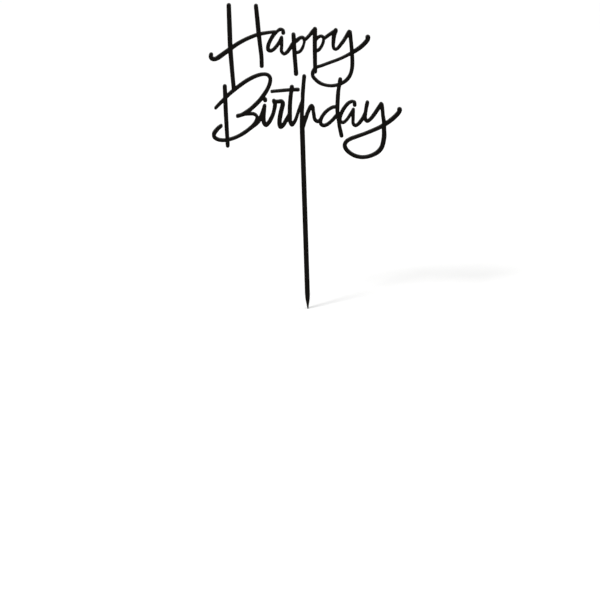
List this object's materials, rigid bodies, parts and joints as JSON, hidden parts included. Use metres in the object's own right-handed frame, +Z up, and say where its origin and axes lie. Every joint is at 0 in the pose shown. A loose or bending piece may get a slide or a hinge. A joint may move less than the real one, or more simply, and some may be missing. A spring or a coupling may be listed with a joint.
{
  "type": "cake topper",
  "caption": "Flat black birthday greeting in joined handwriting, bonded to the front of a slim pointed stick that is pushed into a cake.",
  "frame": {"origin": "on the stick's centre line, at the surface of the cake that it is pushed into", "axes": "+Z up along the stick, X along the lines of writing, the lettering faces -Y"},
  "size_m": [0.1121, 0.0062, 0.187],
  "materials": {
    "lettering_sheet": "black cast sheet, laser cut, faces satin, cut edges dull",
    "stick_sheet": "the same black sheet as the lettering",
    "adhesive": "clear set adhesive"
  },
  "bodies": {
    "root": {"greeting_lettering": "lettering_sheet", "adhesive": "adhesive", "stick": "stick_sheet"}
  },
  "joints": []
}
